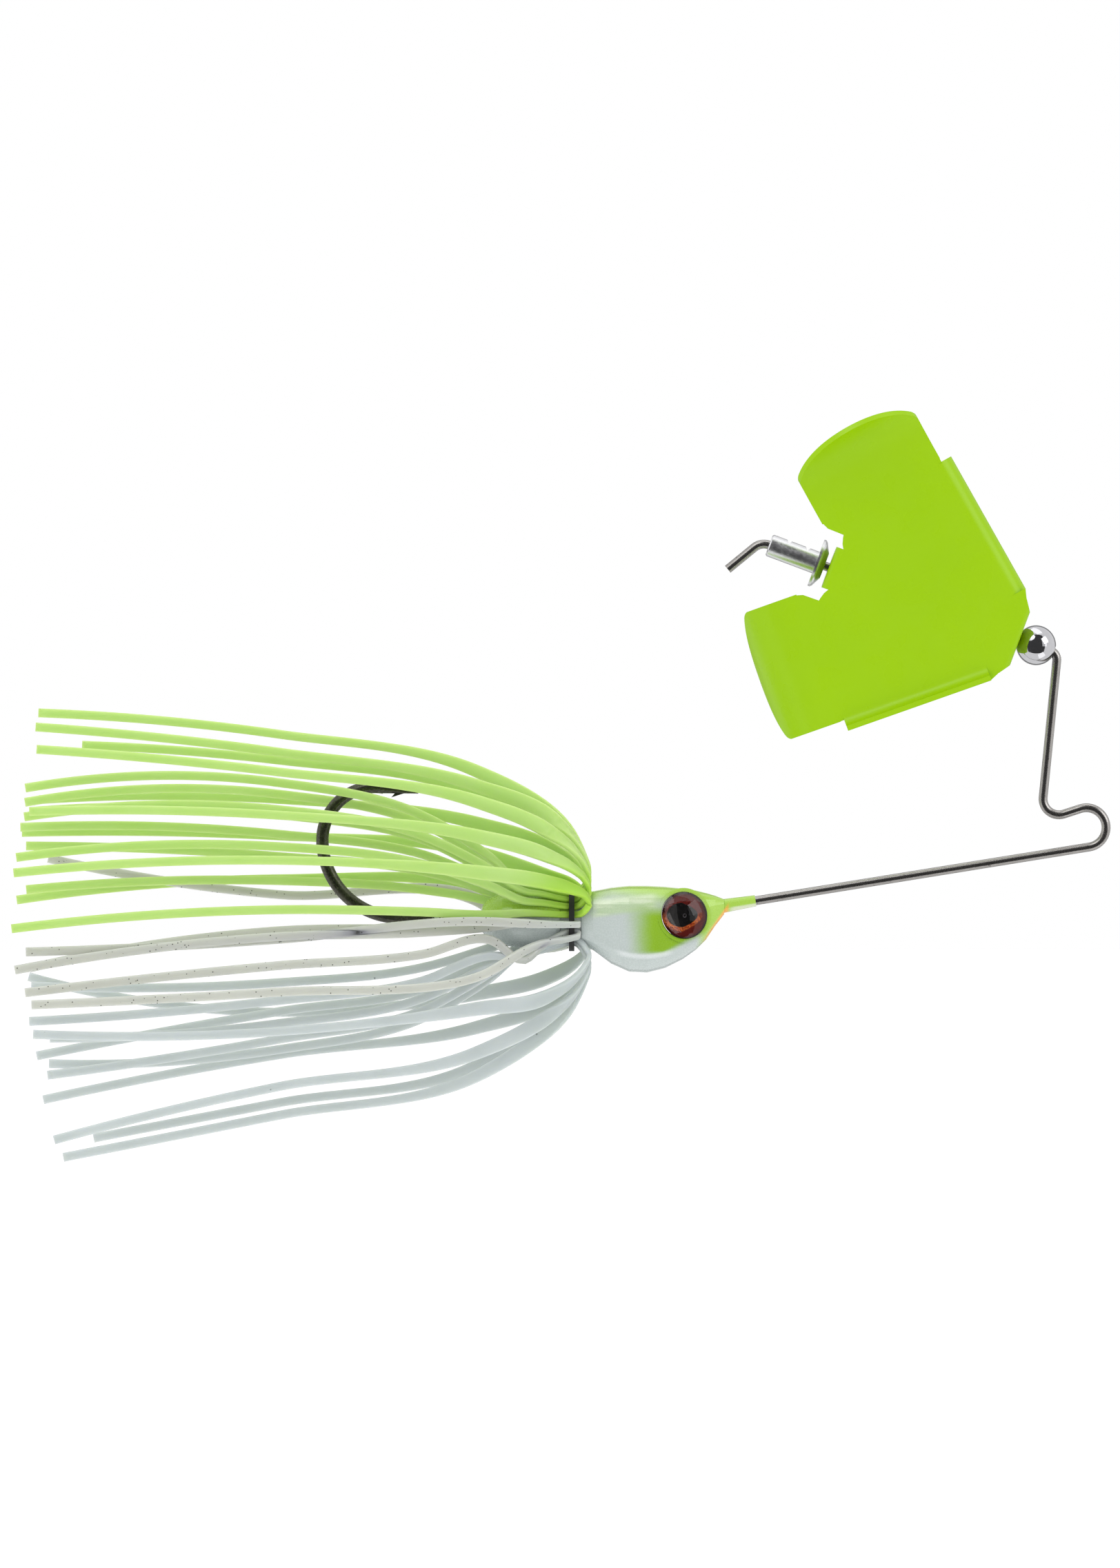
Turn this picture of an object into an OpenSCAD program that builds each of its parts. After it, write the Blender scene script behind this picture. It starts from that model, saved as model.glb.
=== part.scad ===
// Double-wing buzzbait: a lead head cast round a hook and a bent wire frame, a silicone skirt,
// and a folded sheet blade that spins on the frame's shaft between a ball bead and a rivet.
// Millimetres. The origin is the middle of the line tie bend, +X points away from the skirt
// and +Z up; the wire frame and the hook lie in the plane y = 0.

/* [Wire frame] */
// diameter of the spring wire
wire_d = 1.0; // [0.8:0.05:1.4]
// centreline radius of the line tie bend
tie_bend_r = 2.2; // [1.6:0.1:4]
// slope of the lower arm, which runs from the head up to the line tie
lower_arm_angle = 9.15; // [0:0.05:20]
// slope of the short leg that comes back down from the line tie
leg_angle = 18; // [5:1:40]
// length of the upright arm, between the corners at its two ends
upright_length = 18.85; // [14:0.05:25]
// lean of the upright arm towards the line tie
upright_lean = 5.7; // [0:0.1:15]
// slope of the shaft that carries the blade
shaft_angle = 20.6; // [0:0.1:35]
// length of the shaft from the bead's middle to the rear corner
shaft_length = 32.75; // [30:0.25:45]
// length of the bent tail behind the shaft
tail_length = 4.8; // [3:0.1:10]
// slope of the tail below the horizontal
tail_angle = 39.3; // [20:0.1:80]

/* [Bead] */
// diameter of the ball bead
bead_d = 4.5; // [3:0.1:6]
// bore of the ball bead
bead_bore = 1.6; // [1.3:0.05:2.2]

/* [Rivet] */
// diameter of the rivet's tube
rivet_tube_d = 2.55; // [2:0.05:3.5]
// diameter of the rivet's flange
rivet_flange_d = 5.5; // [4:0.1:7]
// length of the whole rivet
rivet_length = 6.6; // [4:0.1:9]
// free play of the bead and the blade along the shaft
end_float = 0.5; // [0.2:0.1:2]

/* [Blade] */
// thickness of the blade's sheet
sheet_t = 0.6; // [0.4:0.05:1]
// distance between the outer faces of the two tabs
blade_length = 22.4; // [18:0.1:30]
// distance of the blade's plate from the shaft
blade_offset = 2.8; // [2:0.1:5]
// sweep of each wing
wing_sweep = 40; // [30:1:60]
// where each wing's flat part ends, from the bead's middle along the wing
flat_reach = 23.7; // [20:0.1:28]
// length of each wing's curled tip, measured round the curl
tip_length = 9.4; // [4:0.1:12]
// width of each wing's tip
wing_width = 15; // [10:0.1:20]
// outer radius of the rolled lip along each wing's leading edge
lip_r = 1.9; // [1.2:0.1:3]
// hole in each tab for the shaft
tab_hole_d = 1.5; // [1.3:0.05:2]

/* [Head] */
// widest part of the head
head_width = 7.8; // [5:0.1:10]
// diameter of the eyes
eye_d = 5.2; // [3:0.1:6]
// diameter of the skirt collar
collar_d = 5; // [4:0.1:6]
// largest diameter of the keeper bulb behind the collar
keeper_d = 6.4; // [5:0.1:7]

/* [Hook] */
// diameter of the hook's wire
hook_d = 1.4; // [1:0.05:2]
// height between the hook's shank and its point
hook_gap = 14.5; // [10:0.1:18]

/* [Skirt] */
// width of one strand where it hangs free
strand_w = 1; // [0.6:0.05:1.2]
// width of one strand where it opens over its fold
strand_fold_w = 1.7; // [0.8:0.05:1.8]
// width of one strand where the band squeezes it
strand_root_w = 0.72; // [0.4:0.02:0.8]
// thickness of one strand
strand_t = 0.45; // [0.25:0.05:0.5]
// how much the skirt opens, 1 being as it hangs in the water
skirt_open = 1; // [0.8:0.05:1.1]

/* [Hidden] */
$fn = 48;

CHARTREUSE = [0.61, 0.80, 0.05];
PEARL = [0.86, 0.88, 0.88];
SPECKLED = [0.78, 0.78, 0.72];
STEEL = [0.72, 0.73, 0.75];
BLACK_NICKEL = [0.14, 0.14, 0.15];
BLACK_RUBBER = [0.06, 0.06, 0.06];

// heading of each straight of the wire, counted from +X towards +Z
leg_heading = 180 + leg_angle;
upright_heading = 90 - upright_lean;
shaft_heading = 180 - shaft_angle;
tail_heading = 180 + tail_angle;

function along(heading) = [cos(heading), sin(heading)];

// corners of the wire, as [x, z, centreline radius]
tie_turn = leg_heading - lower_arm_angle;
tie_corner_r = tie_bend_r / cos(tie_turn / 4);
function tie_corner(n) = tie_corner_r * along(lower_arm_angle - 90 + tie_turn * n / 4);
leg_corner = [-5.09, 0.66];
front_corner = leg_corner + upright_length * along(upright_heading);
bead_back = bead_d / 2 + 0.32;
bead_centre = front_corner + bead_back * along(shaft_heading);
rear_corner = bead_centre + shaft_length * along(shaft_heading);
tail_end = rear_corner + tail_length * along(tail_heading);
wire_path = [
  [-46.9, -12.2, 0],
  [-46.9, -8.92, 1.3],
  [-41.54, -8.92, 4],
  [each tie_corner(1), tie_bend_r],
  [each tie_corner(3), tie_bend_r],
  [each leg_corner, 1.77],
  [each front_corner, 1.1],
  [each rear_corner, 1.7],
  [each tail_end, 0]
];

// the casting's axis and the places along it
axis_z = -10.2;
head_rear_x = -56.3;
band_x = -57.4;
keeper_x = -62.8;
keeper_end_x = -67.5;
neck_end_x = -36.9;

// cross-sections of the head, as [x, top, bottom, share of the widest width]
head_sections = [
  [-56.3, -7.5, -13.0, 0.70],
  [-55.0, -7.1, -13.7, 0.86],
  [-53.0, -6.7, -15.2, 0.96],
  [-51.0, -6.5, -16.1, 1.00],
  [-49.0, -6.5, -16.2, 1.00],
  [-47.0, -6.6, -15.7, 0.95],
  [-45.0, -6.8, -14.7, 0.86],
  [-43.6, -7.0, -13.7, 0.74],
  [-42.4, -7.3, -12.5, 0.58],
  [-41.4, -7.6, -11.0, 0.41],
  [-40.4, -8.0, -9.7, 0.22]
];
section_points = 28;
section_power = 3;

// place and lean of the eyes; they look a little forwards and upwards
eye_x = -44.94;
eye_z = -9.8;
eye_floor = 2.75;
eye_yaw = 14;
eye_lean = 7;
eye_disc_t = 0.25;
eye_dome_h = 0.95;

// the hook: shank height, bend and point
hook_z = -10.05;
hook_back_x = -85.2;
hook_tip_x = -74.5;
hook_point_slope = 9;
point_r = 5.92;
shank_r = hook_gap - point_r + 0.07;
point_corner_z = hook_z + shank_r + point_r * tan(45 + hook_point_slope / 2);
taper_x = hook_back_x + point_r * tan(45 + hook_point_slope / 2) * cos(hook_point_slope);
taper_z = point_corner_z - (taper_x - hook_back_x) * tan(hook_point_slope);
hook_eye_x = -46.9;
hook_eye_r = 1.6;
hook_eye_d = 1.2;

// the blade, in its own axes: u back along the shaft, v down across it, w to the lure's right;
// a runs along a wing and b across it, towards its leading edge
lip_turn = 75;
lip_b = 0.2;
lip_start = 6.1;
lip_end = 23;
overlap = 0.1;
edge_step = 0.04;
lead_b = 0.8;
trail_b = lead_b - wing_width;
upper_curl = 60;
lower_curl = 80;
upper_bow_r = 10;
lower_bow_r = 13;
tip_round = 1.5;
tab_bend_r = 0.2;
fold_r = tab_bend_r + sheet_t;
tab_round = 2.2;
front_lean = 7;
front_tab_u = bead_d / 2 + 0.05;
rear_tab_u = front_tab_u + blade_length;
front_fold_u = front_tab_u + fold_r / cos(front_lean) - fold_r
  - (blade_offset - tab_bend_r) * tan(front_lean);
front_tab_half = 3.15;
front_fold_half = 4.3;
rear_tab_half = 2.4;

/* ---- helpers ---- */

function heading_of(p, q) = atan2(q[1] - p[1], q[0] - p[0]);
function wrapped(a) = a > 180 ? a - 360 : a < -180 ? a + 360 : a;
function turn_at(path, i) =
  wrapped(heading_of(path[i], path[i + 1]) - heading_of(path[i - 1], path[i]));
function trim_at(path, i) = path[i][2] == 0 ? 0 : path[i][2] * tan(abs(turn_at(path, i)) / 2);

// places a shape drawn along +X at a point of the plane y = 0
module in_plane(x, z, heading) {
  translate([x, 0, z])
    rotate([0, -heading, 0])
      children();
}

// round wire along a path of [x, z, radius] corners
module bent_wire(path, d) {
  last = len(path) - 1;
  for (i = [1 : last]) {
    heading = heading_of(path[i - 1], path[i]);
    span = norm([path[i][0] - path[i - 1][0], path[i][1] - path[i - 1][1]]);
    start = i == 1 ? 0 : trim_at(path, i - 1);
    stop = i == last ? 0 : trim_at(path, i);
    straight = span - start - stop;
    if (straight > 0.001)
      in_plane(path[i - 1][0], path[i - 1][1], heading)
        translate([start, 0, 0])
          rotate([0, 90, 0])
            cylinder(h = straight, d = d);
    if (i < last)
      in_plane(path[i][0], path[i][1], heading)
        wire_corner(trim_at(path, i), path[i][2], turn_at(path, i), d);
  }
}

// one bend, its corner at the origin and the wire arriving along +X
module wire_corner(trim, r, turn, d) {
  side = turn > 0 ? 1 : -1;
  translate([-trim, 0, side * r])
    rotate([90, 0, 0])
      rotate([0, 0, side > 0 ? -90 : 90 + turn])
        rotate_extrude(angle = abs(turn))
          translate([r, 0])
            circle(d = d);
}

// a shape drawn on the shaft's own axes, its origin at the bead's middle
module on_shaft() {
  in_plane(bead_centre[0], bead_centre[1], shaft_heading)
    children();
}

/* ---- wire frame, bead and rivet ---- */

module wire_frame() {
  color(STEEL)
    bent_wire(wire_path, wire_d);
}

module bead() {
  color(STEEL)
    on_shaft()
      rotate([0, 90, 0])
        difference() {
          sphere(d = bead_d, $fn = 64);
          cylinder(h = bead_d + 1, d = bead_bore, center = true);
        }
}

module rivet() {
  face_u = rear_tab_u + end_float;
  color(STEEL)
    on_shaft()
      difference() {
        translate([face_u, 0, 0])
          rotate([0, 90, 0])
            rotate_extrude()
              rivet_profile();
        for (u = [2.4, 4.6])
          translate([face_u + u, 0, -rivet_tube_d / 2])
            crimp_nick();
      }
}

// half of the rivet's long section; its flange is domed on the blade's side
module rivet_profile() {
  bore_r = wire_d / 2 + 0.03;
  polygon([
    [bore_r, 0],
    [rivet_tube_d / 2 + 0.2, 0],
    [rivet_flange_d / 2 - 0.2, 0.55],
    [rivet_flange_d / 2, 0.75],
    [rivet_flange_d / 2, 1.0],
    [rivet_tube_d / 2, 1.0],
    [rivet_tube_d / 2, rivet_length - 0.15],
    [rivet_tube_d / 2 - 0.15, rivet_length],
    [bore_r, rivet_length]
  ]);
}

// the nick that the crimping jaw leaves
module crimp_nick() {
  rotate([90, 0, 0])
    linear_extrude(height = rivet_tube_d + 1, center = true)
      polygon([[-0.35, -0.1], [0.35, -0.1], [0, 0.38]]);
}

/* ---- blade ---- */

// the blade's axes: the sheet is drawn flat in u and v and thickened towards +w
module blade_axes() {
  on_shaft()
    rotate([90, 0, 0])
      children();
}

// wing axes: the first along the wing, the second across it towards its leading edge
module wing_axes(side) {
  mirror([0, side > 0 ? 0 : 1, 0])
    rotate([0, 0, wing_sweep])
      children();
}

function wing_point(a, b) = [
  a * cos(wing_sweep) - b * sin(wing_sweep),
  a * sin(wing_sweep) + b * cos(wing_sweep)
];

// half of the flat plate, between the folds; it runs a little under the lip and the tip
function plate_half() = [
  [front_fold_u + fold_r, 0],
  [front_fold_u + fold_r, front_fold_half],
  wing_point(lip_start - 1, 1.55),
  wing_point(lip_start + edge_step, 2),
  wing_point(lip_start + edge_step, lip_b - overlap),
  wing_point(lip_end - edge_step, lip_b - overlap),
  wing_point(lip_end - edge_step, lead_b - edge_step),
  wing_point(flat_reach - overlap, lead_b - edge_step),
  wing_point(flat_reach - overlap, trail_b + edge_step),
  wing_point(flat_reach - 1, trail_b + 0.3),
  [rear_tab_u - 0.25, 3.9],
  [rear_tab_u - 0.3, 3.6],
  [rear_tab_u - 0.5, 2.9],
  [rear_tab_u - fold_r, rear_tab_half],
  [rear_tab_u - fold_r, 0]
];

module plate() {
  for (side = [1, -1])
    translate([0, 0, blade_offset])
      linear_extrude(height = sheet_t)
        polygon([for (p = plate_half()) [p[0], side * p[1]]]);
}

// a strip of sheet bent to an outer radius, between two directions
module ring_sector(r, from, to) {
  difference() {
    intersection() {
      circle(r = r);
      polygon([[0, 0], 2 * r * along(from), 2 * r * along((from + to) / 2), 2 * r * along(to)]);
    }
    circle(r = r - sheet_t);
  }
}

// a bend of the sheet that starts at the origin along +x, with a short flat run into the plate
module bend_profile(r, turn) {
  run_in = 0.3;
  translate([0, r])
    ring_sector(r, -90, turn - 90);
  translate([-run_in, 0])
    square([run_in + 0.1, sheet_t]);
}

// turns the wing's axes so that a bend which starts on the plate goes to the front or the back
module bend_axes(a, b, to_front) {
  translate([a, b, blade_offset + (to_front ? 0 : sheet_t)])
    mirror([0, 0, to_front ? 0 : 1])
      children();
}

// the lip along a wing's leading edge: rolled to the front on the lower wing and to the back on
// the upper one
module lip(side) {
  wing_axes(side)
    bend_axes(lip_start, lip_b, side > 0)
      rotate([90, 0, 90])
        linear_extrude(height = lip_end - lip_start)
          bend_profile(lip_r, lip_turn);
}

// the curled tip of a wing; a strip bent a little too far is cut to the bowed outline, and it
// curls the other way from the lip
module wing_tip(side) {
  turn = side > 0 ? lower_curl : upper_curl;
  curl_r = tip_length / (turn * PI / 180);
  wing_axes(side)
    bend_axes(flat_reach, lead_b, side < 0)
      intersection() {
        rotate([90, 0, 0])
          linear_extrude(height = wing_width)
            bend_profile(curl_r, turn + 5);
        translate([curl_r * sin(turn), 0, curl_r * (1 - cos(turn))])
          rotate([0, -turn, 0])
            linear_extrude(height = 40, center = true)
              polygon(tip_outline(side > 0 ? lower_bow_r : upper_bow_r));
      }
}

// outline of the tip from its end backwards: two straight sides, round corners and a bowed end
tip_half = wing_width / 2 + edge_step;
function tip_outline(bow_r) =
  let (
    back = sqrt(pow(bow_r - tip_round, 2) - pow(tip_half - tip_round, 2)),
    turn = atan2(tip_half - tip_round, back)
  )
  [
    for (p = [
      [-30, -tip_half - 1],
      [back, -tip_half - 1],
      each [for (t = [-90 : 4 : -turn]) [back, tip_round - tip_half] + tip_round * along(t)],
      each [for (t = [-turn : turn / 20 : turn]) bow_r * along(t)],
      each [for (t = [turn : 4 : 90]) [back, tip_half - tip_round] + tip_round * along(t)],
      [back, tip_half + 1],
      [-30, tip_half + 1]
    ]) [p[0] - bow_r, p[1] - wing_width / 2]
  ];

// a tab bent to the back at the plate's end, with the hole for the shaft; leaning tips its foot
// towards the blade's middle
module tab(fold_u, facing, half_width, fold_half, lean) {
  translate([fold_u, 0, 0])
    mirror([facing > 0 ? 0 : 1, 0, 0])
      translate([fold_r, 0, blade_offset - tab_bend_r]) {
        intersection() {
          translate([0, fold_half, 0])
            rotate([90, 0, 0])
              linear_extrude(height = 2 * fold_half)
                ring_sector(fold_r, 90, 180 + lean);
          linear_extrude(height = 3 * fold_r, center = true)
            polygon([
              [1, -fold_half], [0, -fold_half], [-fold_r, -half_width], [-fold_r - 1, -half_width],
              [-fold_r - 1, half_width], [-fold_r, half_width], [0, fold_half], [1, fold_half]
            ]);
        }
        rotate([0, -lean, 0])
          translate([-fold_r, 0, 0])
            rotate([0, 90, 0])
              linear_extrude(height = sheet_t)
                difference() {
                  tab_face(half_width);
                  translate([blade_offset - tab_bend_r, 0])
                    circle(d = tab_hole_d);
                }
      }
}

// a tab's face, drawn from its fold towards +x
module tab_face(half_width) {
  hole_x = blade_offset - tab_bend_r;
  translate([hole_x, 0])
    circle(r = tab_round);
  polygon([
    [0, -half_width],
    [0, half_width],
    [0.8, half_width],
    [hole_x + 0.3, tab_round * 0.98],
    [hole_x + 0.3, -tab_round * 0.98],
    [0.8, -half_width]
  ]);
}

module blade() {
  color(CHARTREUSE)
    blade_axes() {
      plate();
      for (side = [1, -1]) {
        lip(side);
        wing_tip(side);
      }
      tab(front_fold_u, 1, front_tab_half, front_fold_half, front_lean);
      tab(rear_tab_u, -1, rear_tab_half, rear_tab_half, 0);
    }
}

/* ---- hook ---- */

module hook() {
  color(BLACK_NICKEL) {
    bent_wire([
      [hook_eye_x - hook_eye_r, hook_z, 0],
      [hook_back_x, hook_z, shank_r],
      [hook_back_x, point_corner_z, point_r],
      [taper_x, taper_z, 0]
    ], hook_d);
    hook_point();
    hook_eye();
  }
}

// the eye lies flat, so that the wire's end can pass down through it
module hook_eye() {
  translate([hook_eye_x, 0, hook_z])
    rotate_extrude()
      translate([hook_eye_r, 0])
        circle(d = hook_eye_d);
}

// the tapered point starts just inside the end of the bend and is a hair thinner there
module hook_point() {
  length = (hook_tip_x - taper_x) / cos(hook_point_slope);
  in_plane(taper_x, taper_z, -hook_point_slope) {
    translate([-0.2, 0, 0])
      rotate([0, 90, 0])
        cylinder(h = length + 0.2, d1 = hook_d - 0.03, d2 = 0.12);
    rotate([90, 0, 0])
      linear_extrude(height = 0.36, center = true)
        polygon([
          [length - 1.6, -0.1],
          [length - 1.5, -0.25],
          [length - 2.9, -0.95],
          [length - 2.4, -0.1]
        ]);
  }
}

/* ---- head ---- */

function section_at(s) = [
  for (i = [0 : section_points - 1])
    let (a = -360 * i / section_points, c = cos(a), v = sin(a))
    [
      s[0],
      head_width / 2 * s[3] * sign(c) * pow(abs(c), 2 / section_power),
      (s[1] + s[2]) / 2 + (s[1] - s[2]) / 2 * sign(v) * pow(abs(v), 2 / section_power)
    ]
];

// skin over a list of rings that have the same number of points each
module loft(rings) {
  n = len(rings[0]);
  last = len(rings) - 1;
  polyhedron(
    points = [for (ring = rings) each ring],
    faces = [
      [for (i = [n - 1 : -1 : 0]) i],
      for (k = [0 : last - 1], i = [0 : n - 1], half = [0, 1])
        half == 0
          ? [k * n + i, k * n + (i + 1) % n, (k + 1) * n + i]
          : [k * n + (i + 1) % n, (k + 1) * n + (i + 1) % n, (k + 1) * n + i],
      [for (i = [0 : n - 1]) last * n + i]
    ]
  );
}

// the keeper bulb and the collar in front of it, turned about the casting's axis
module keeper() {
  bulge = (keeper_d - collar_d) / 2;
  translate([0, 0, axis_z])
    rotate([0, -90, 0])
      rotate_extrude()
        polygon([
          [0, -head_rear_x - 1],
          [collar_d / 2, -head_rear_x - 1],
          [collar_d / 2, 2.2 - head_rear_x],
          for (t = [0 : 15 : 90]) [collar_d / 2 + bulge * sin(t), 4.2 * (1 - cos(t)) - keeper_x - 4.2],
          for (t = [15 : 15 : 75])
            [0.9 + (keeper_d / 2 - 0.9) * cos(t), -keeper_x + (keeper_x - keeper_end_x) * sin(t)],
          [0.9, -keeper_end_x],
          [0, -keeper_end_x]
        ]);
}

// the thin collar of lead where the wire enters the nose
module neck() {
  direction = along(lower_arm_angle);
  length = (neck_end_x + 41.2) / direction[0];
  in_plane(-41.2, -8.92 + 0.34 * direction[1], lower_arm_angle)
    rotate([0, 90, 0])
      cylinder(h = length, d1 = wire_d + 0.6, d2 = wire_d + 0.25);
}

// a shape drawn on an eye's own axes, +Z out of the head; side is -1 for the lure's right
module on_eye(side) {
  mirror([0, side < 0 ? 0 : 1, 0])
    translate([eye_x, -eye_floor, eye_z])
      rotate([-eye_lean, 0, eye_yaw])
        rotate([90, 0, 0])
          children();
}

module head_casting() {
  color(PEARL)
    difference() {
      union() {
        loft([for (s = head_sections) section_at(s)]);
        keeper();
        neck();
        for (side = [-1, 1])
          on_eye(side)
            translate([0, 0, -1.5])
              cylinder(h = 1.75, d = eye_d + 0.9);
      }
      for (side = [-1, 1])
        on_eye(side)
          cylinder(h = 4, d = eye_d + 0.1);
      bent_wire(wire_path, wire_d);
      hook();
    }
}

/* ---- eyes ---- */

module eye_disc(side) {
  on_eye(side)
    translate([0, 0, 0.02])
      cylinder(h = eye_disc_t, d = eye_d);
}

module eye_dome(side) {
  cap_r = (pow(eye_d / 2, 2) + pow(eye_dome_h - 0.2, 2)) / (2 * (eye_dome_h - 0.2));
  on_eye(side)
    translate([0, 0, eye_disc_t + 0.03])
      intersection() {
        cylinder(h = eye_dome_h, d = eye_d);
        translate([0, 0, eye_dome_h - cap_r])
          sphere(r = cap_r, $fn = 96);
      }
}

module eye_disc_right() {
  color([0.45, 0.08, 0.08])
    eye_disc(-1);
}

module eye_disc_left() {
  color([0.45, 0.08, 0.08])
    eye_disc(1);
}

module eye_dome_right() {
  color([0.9, 0.9, 0.9, 0.5])
    eye_dome(-1);
}

module eye_dome_left() {
  color([0.9, 0.9, 0.9, 0.5])
    eye_dome(1);
}

/* ---- skirt ---- */

module skirt_band() {
  inner_r = collar_d / 2 + strand_t + 0.14;
  color(BLACK_RUBBER)
    translate([band_x, 0, axis_z])
      rotate([0, 90, 0])
        rotate_extrude()
          translate([inner_r + 0.25, 0])
            square([0.5, 0.6], center = true);
}

// how each strand hangs: how wide its fold opens, then the front half that folds back over and
// the rear half inside it, each as [y and z in the middle of the skirt, x, y and z of the tip];
// y and z are counted from the collar's axis
strands = [
  [0.53, [-11.0, 6.6, -119.2, -11.6, 5.2], [-8.6, 1.1, -119.5, -9.4, -1.0]],
  [0.68, [-9.8, 11.6, -117.5, -10.6, 12.0], [-8.2, 8.1, -119, -8.8, 6.9]],
  [0.82, [-6.8, 16.4, -116.8, -7.6, 18.9], [-6.2, 12.2, -118.2, -6.6, 11.4]],
  [0.92, [-2.0, 18.6, -117.1, -2.4, 21.4], [-2.9, 15.2, -118.2, -3.4, 14.6]],
  [1, [3.2, 20.6, -117, 3.6, 23.0], [2.9, 13.9, -118.5, 3.4, 13.0]],
  [1, [8.6, 17.7, -112.3, 9.4, 19.4], [5.6, 11.6, -117.6, 6.2, 12.0]],
  [1, [11.0, 13.3, -117.2, 11.8, 13.3], [7.8, 9.4, -119.2, 8.4, 10.2]],
  [1, [12.4, 9.2, -119.2, 13.0, 9.6], [8.9, 6.9, -118.6, 9.4, 8.1]],
  [1, [13.0, 4.4, -119.8, 13.4, 2.0], [9.2, 4.2, -118.6, 9.8, 3.2]],
  [1, [11.2, 2.6, -116.2, 11.6, 6.7], [9.0, -1.4, -118.2, 9.6, -5.6]],
  [1, [11.4, -10.6, -118.4, 12.0, -6.6], [8.0, -7.2, -118, 8.6, -7.6]],
  [1, [9.6, -15.3, -116.7, 10.6, -20.4], [6.0, -10.4, -117.3, 6.4, -15.4]],
  [1, [5.2, -20.6, -110.9, 6.2, -24.6], [2.6, -14.6, -115.8, 3.0, -16.2]],
  [1, [0.2, -21.9, -114.1, 0.4, -26.6], [-1.2, -13.4, -115.8, -1.6, -17.4]],
  [0.88, [-5.2, -18.6, -114.9, -6.4, -24.5], [-4.6, -11.6, -115.4, -5.2, -13.2]],
  [0.77, [-9.2, -12.4, -117.1, -9.8, -12.7], [-7.2, -9.0, -117.6, -7.8, -11.3]],
  [0.2, [-11.4, -8.0, -117.2, -12.0, -9.4], [-8.8, -5.1, -118, -9.4, -8.1]],
  [0.1, [-6.9, -2.2, -118, -7.4, -3.6], [-7.4, -1.9, -119.2, -7.8, -5.6]]
];

// the roots are spread evenly in the band; the folds open away from the lure's right side, where
// only the last two strands run straight back
last_strand = len(strands) - 1;
function shut(n) = n > last_strand - 2;
function root_angle(n) = 10 + 20 * n;
function open_angle(n) = n == last_strand ? 358 : 31.2 + 18.1 * n;

strand_root_r = collar_d / 2 + strand_t / 2 + 0.05;
strand_steps = 4;

// the fold in front of the band and the lie of the rear half over the keeper, as [x from the band,
// distance from the axis]
fold = [[-2.7, 12.4], [0.1, 9.7], [1.5, 7.1], [1.95, 5.4], [1.6, 4.2], [1.05, 3.35], [0.55, 2.85]];
tight_fold = [[-2.7, 4.6], [0.1, 3.95], [0.75, 3.6], [0.75, 3.15]];
lie = [[-1.3, 3.0], [-3.2, 3.6], [-5.2, 4.0]];

// how far the last three rear halves swing round the keeper, in degrees, and stand off it
last_lies = [[12, 0.8], [22, 1.8], [-5, 0]];
fold_start_r = fold[6][1];

// 0 below the low value, 1 above the high one and smooth between them
function share(value, low, high) =
  let (t = min(max((value - low) / (high - low), 0), 1))
  t * t * (3 - 2 * t);

// the skirt is a little narrower than it is high
function flattened(r) = 1 - 0.28 * min(max((r - 3) / 9, 0), 1);
function ring_point(angle, x, r) = [
  band_x + x,
  -cos(angle) * r * flattened(r),
  axis_z + sin(angle) * r
];
function tail_point(x, y, z) = [x, y * skirt_open, axis_z + z * skirt_open];

// a point of strand n's fold: it swings to the open angle and comes in where the strand opens less
function fold_point(n, x, r) =
  let (
    turned = share(r, fold_start_r, 7),
    opened = !shut(n) && r > 4.5 ? strands[n][0] : 1
  )
  ring_point(
    root_angle(n) + (open_angle(n) - root_angle(n)) * turned,
    x,
    fold_start_r + (r - fold_start_r) * opened
  );

// the last rear halves leave the keeper's right side bare below its middle
function last_lie(n) =
  let (i = n - len(strands) + len(last_lies))
  i < 0 ? [0, 0] : last_lies[i];
function lie_point(n, x, r) =
  let (way = x / lie[2][0])
  ring_point(root_angle(n) - last_lie(n)[0] * way * way, x, r + last_lie(n)[1] * way);

// a strand's path from the tip of its front half to the tip of its rear half
function strand_knots(n) =
  let (front = strands[n][1], rear = strands[n][2])
  [
    tail_point(front[2], front[3], front[4]),
    tail_point(-90, front[0], front[1]),
    tail_point(-68, 0.85 * front[0], (n == last_strand ? 0.1 : 0.8) * front[1]),
    for (p = shut(n) ? tight_fold : fold) fold_point(n, p[0], p[1]),
    ring_point(root_angle(n), 0, strand_root_r),
    for (p = lie) lie_point(n, p[0], p[1]),
    tail_point(-66.4, 0.45 * rear[0], 0.45 * rear[1]),
    tail_point(-74, 0.76 * rear[0], 0.76 * rear[1]),
    tail_point(-90, rear[0], rear[1]),
    tail_point(rear[2], rear[3], rear[4])
  ];
function root_index(n) = strand_steps * (3 + len(shut(n) ? tight_fold : fold));

// slope of the path at each knot
function inner_slope(k, i) =
  let (a = norm(k[i] - k[i - 1]), b = norm(k[i + 1] - k[i]))
  ((k[i + 1] - k[i]) * a / b + (k[i] - k[i - 1]) * b / a) / (a + b);
function slope(k, i) =
  i == 0 ? 2 * (k[1] - k[0]) / norm(k[1] - k[0]) - inner_slope(k, 1)
  : i == len(k) - 1 ? 2 * (k[i] - k[i - 1]) / norm(k[i] - k[i - 1]) - inner_slope(k, i - 1)
  : inner_slope(k, i);

function between(p, q, m, n, t) =
  (2 * pow(t, 3) - 3 * pow(t, 2) + 1) * p + (pow(t, 3) - 2 * pow(t, 2) + t) * m
  + (3 * pow(t, 2) - 2 * pow(t, 3)) * q + (pow(t, 3) - pow(t, 2)) * n;

function smooth_path(k) = [
  for (i = [0 : len(k) - 2], j = [0 : strand_steps - 1])
    let (span = norm(k[i + 1] - k[i]))
    between(k[i], k[i + 1], span * slope(k, i), span * slope(k, i + 1), j / strand_steps),
  k[len(k) - 1]
];

function unit(v) = v / norm(v);

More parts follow.
